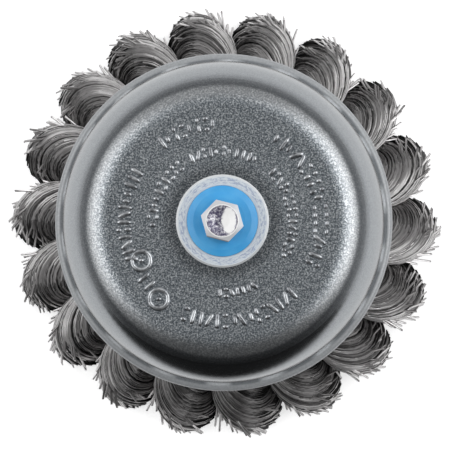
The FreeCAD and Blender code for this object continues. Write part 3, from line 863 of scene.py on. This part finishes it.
def makeKnot(index):
    # One knot's wires, folded above and twisted below, drawn in where they would reach past
    # the brush's outside, and turned to their place round the axis.
    rng = np.random.default_rng(knot["seed"] + index)
    twisted, bearing, bunched, disc, discX, discY = twistedPaths(rng)
    folded = foldedPaths(discX, discY)
    paths = np.concatenate([folded, twisted], axis=1)
    radius = np.hypot(paths[..., 0], paths[..., 1])
    paths[..., :2] *= np.minimum(1, knot["reach"] / radius)[..., None]
    radii = np.full(paths.shape[1], knot["wireRadius"])
    radii[-1] *= knot["endTaper"]
    points, faceGroups = tubes(paths, radii, knot["sides"])
    along, across = heading(math.radians(knot["firstAngle"] + 360 * index / knot["count"]))
    points[:, :2] = points[:, :2] @ np.array([along, across])
    piece = meshPiece(f"knotWires_{index + 1:02d}", points, faceGroups)
    toneAndShade, litShade = wireShades(rng, bearing, twisted[..., 2], bunched, disc)
    litShade = np.concatenate([np.full(folded.shape[:2], knot["foldShade"]), litShade], axis=1)
    shade = np.repeat((toneAndShade * litShade).ravel(), knot["sides"])
    attribute = piece.data.attributes.new("wireShade", "FLOAT", "POINT")
    attribute.data.foreach_set("value", shade.astype(np.float32))
    piece.data.materials.append(wireMaterial)
    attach(piece, "root")
    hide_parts(f"knot_{index + 1:02d}")


for index in range(knot["count"]):
    makeKnot(index)
print("wire knots made:", knot["count"], "knots of", wireCount, "wires")


# Floor, light and camera

studio = {  # lengths in metres
    "floorSize": 4.0,
    "floorColour": 0.9,
    "floorRoughness": 0.6,
    "cameraGlow": 0.55,  # floor's own glow for camera rays, and for glossy ones
    "glossGlow": 0.2,
    "shadeFrom": (0.05, 0.09),  # metres south of the brush where gloss sees a dark floor
    "contactShade": (0.058, 0.046),  # metres from the axis within which it sees one too
    "panelDistance": 0.75,
    "panelSize": (0.8, 0.46),
    "panelHeight": 48.0,  # degrees over the floor
    "panels": {"rightPanel": (9.0, 2.25), "leftPanel": (175.0, 1.7)},  # degrees from +X, radiance
    # radiance of the room against the sine of the height over the horizon
    "room": [(0.0, 0.1), (0.08, 0.16), (0.2, 0.46), (0.4, 0.65), (0.82, 0.67), (0.94, 0.3),
             (1.0, 0.18)],
    "southSpread": 0.45,  # how soon the southern sector ends to the east and west
    "southShade": 0.82,  # how much darker the room is in it
    "southFrom": (0.0, 0.3),
    "southUnder": (0.99, 0.88),  # sines of the heights over which the shade ends above
}


def southOn(tree, place, low, high):
    # 1 in the sector to the south, with soft sides: a step of -y less a share of |x|
    wide = mathOn(tree, "MULTIPLY", mathOn(tree, "ABSOLUTE", place[0]), studio["southSpread"])
    ahead = mathOn(tree, "SUBTRACT", mathOn(tree, "MULTIPLY", place[1], -1.0), wide)
    return stepOn(tree, ahead, low, high)


def makeFloor():
    # A pale floor that glows a little by itself. Reflections see it dark under the brush and
    # to the south.
    half = studio["floorSize"] / 2 / mm
    corners = np.array([[-half, -half, 0], [half, -half, 0], [half, half, 0], [-half, half, 0]])
    floor = meshPiece("floor", corners, [np.array([[0, 1, 2, 3]])], smooth=False)
    material, tree, shader = newMaterial("pale floor", (studio["floorColour"],) * 3, 0.0,
                                         studio["floorRoughness"])
    shader.inputs["Emission Color"].default_value = (1, 1, 1, 1)
    rays = addNode(tree, "ShaderNodeLightPath")
    glossy = rays.outputs["Is Glossy Ray"]
    place = placeOn(tree)
    near = stepOn(tree, radiusOn(tree, place), *studio["contactShade"])
    shade = mathOn(tree, "MAXIMUM", near, southOn(tree, place, *studio["shadeFrom"]))
    plain = mathOn(tree, "SUBTRACT", 1.0, mathOn(tree, "MULTIPLY", glossy, shade))
    seen = mathOn(tree, "MULTIPLY", rays.outputs["Is Camera Ray"], studio["cameraGlow"])
    mirrored = mathOn(tree, "MAXIMUM", glossy, rays.outputs["Is Transmission Ray"])
    glow = mathOn(tree, "ADD", seen, mathOn(tree, "MULTIPLY", mirrored, studio["glossGlow"]))
    glow = mathOn(tree, "MULTIPLY", glow, plain)
    tree.links.new(glow, shader.inputs["Emission Strength"])
    pale = mathOn(tree, "MULTIPLY", plain, studio["floorColour"])
    tree.links.new(pale, shader.inputs["Base Color"])
    floor.data.materials.append(material)


def makePanel(name, degrees, radiance):
    # soft box that faces the brush; its power gives it the radiance
    turn, rise = math.radians(degrees), math.radians(studio["panelHeight"])
    place = studio["panelDistance"] * Vector((math.cos(rise) * math.cos(turn),
                                              math.cos(rise) * math.sin(turn), math.sin(rise)))
    data = bpy.data.lights.new(name, "AREA")
    data.shape = "RECTANGLE"
    data.size, data.size_y = studio["panelSize"]
    data.energy = radiance * math.pi * data.size * data.size_y
    light = bpy.data.objects.new(name, data)
    light.location = place
    light.rotation_euler = place.to_track_quat("Z", "Y").to_euler()
    bpy.context.scene.collection.objects.link(light)


def makeWorld():
    # room light by direction, darker low in the south; white to the camera
    world = bpy.data.worlds.new("studio")
    world.use_nodes = True
    tree = world.node_tree
    room = tree.nodes["Background"]
    place = placeOn(tree, "Generated")
    level = rampOn(tree, place[2], studio["room"])
    low = stepOn(tree, place[2], *studio["southUnder"])
    dark = mathOn(tree, "MULTIPLY", southOn(tree, place, *studio["southFrom"]), low)
    keep = mathOn(tree, "SUBTRACT", 1.0, mathOn(tree, "MULTIPLY", dark, studio["southShade"]))
    tree.links.new(level, room.inputs["Color"])
    tree.links.new(keep, room.inputs["Strength"])
    white = addNode(tree, "ShaderNodeBackground")
    white.inputs["Color"].default_value = (1, 1, 1, 1)
    rays = addNode(tree, "ShaderNodeLightPath")
    mix = addNode(tree, "ShaderNodeMixShader")
    tree.links.new(rays.outputs["Is Camera Ray"], mix.inputs["Fac"])
    tree.links.new(room.outputs["Background"], mix.inputs[1])
    tree.links.new(white.outputs["Background"], mix.inputs[2])
    tree.links.new(mix.outputs["Shader"], tree.nodes["World Output"].inputs["Surface"])
    bpy.context.scene.world = world


cameraView = {  # lengths in mm
    "place": (5.0, -4.8, 500.0),
    "target": (0.27, -0.6, 24.0),
    "scale": 4.25,  # pixels per millimetre in the plane of the wire tips
    "pixels": 450,
    "sensor": 36.0,
    "clip": (0.01, 20.0),  # metres
}


def makeCamera():
    # +X stays to the right; the focal length follows from the scale and the height
    data = bpy.data.cameras.new("camera")
    data.sensor_width = cameraView["sensor"]
    field = cameraView["pixels"] / cameraView["scale"]
    data.lens = cameraView["sensor"] * cameraView["place"][2] / field
    data.clip_start, data.clip_end = cameraView["clip"]
    camera = bpy.data.objects.new("camera", data)
    place = Vector(cameraView["place"])
    away = (place - Vector(cameraView["target"])).normalized()
    right = (Vector((1, 0, 0)) - away * away.x).normalized()
    camera.location = place * mm
    camera.rotation_euler = Matrix((right, away.cross(right), away)).transposed().to_euler()
    bpy.context.scene.collection.objects.link(camera)
    bpy.context.scene.camera = camera


makeFloor()
for name, values in studio["panels"].items():
    makePanel(name, *values)
makeWorld()
makeCamera()
bpy.context.scene.view_settings.view_transform = "Standard"
print("studio made")
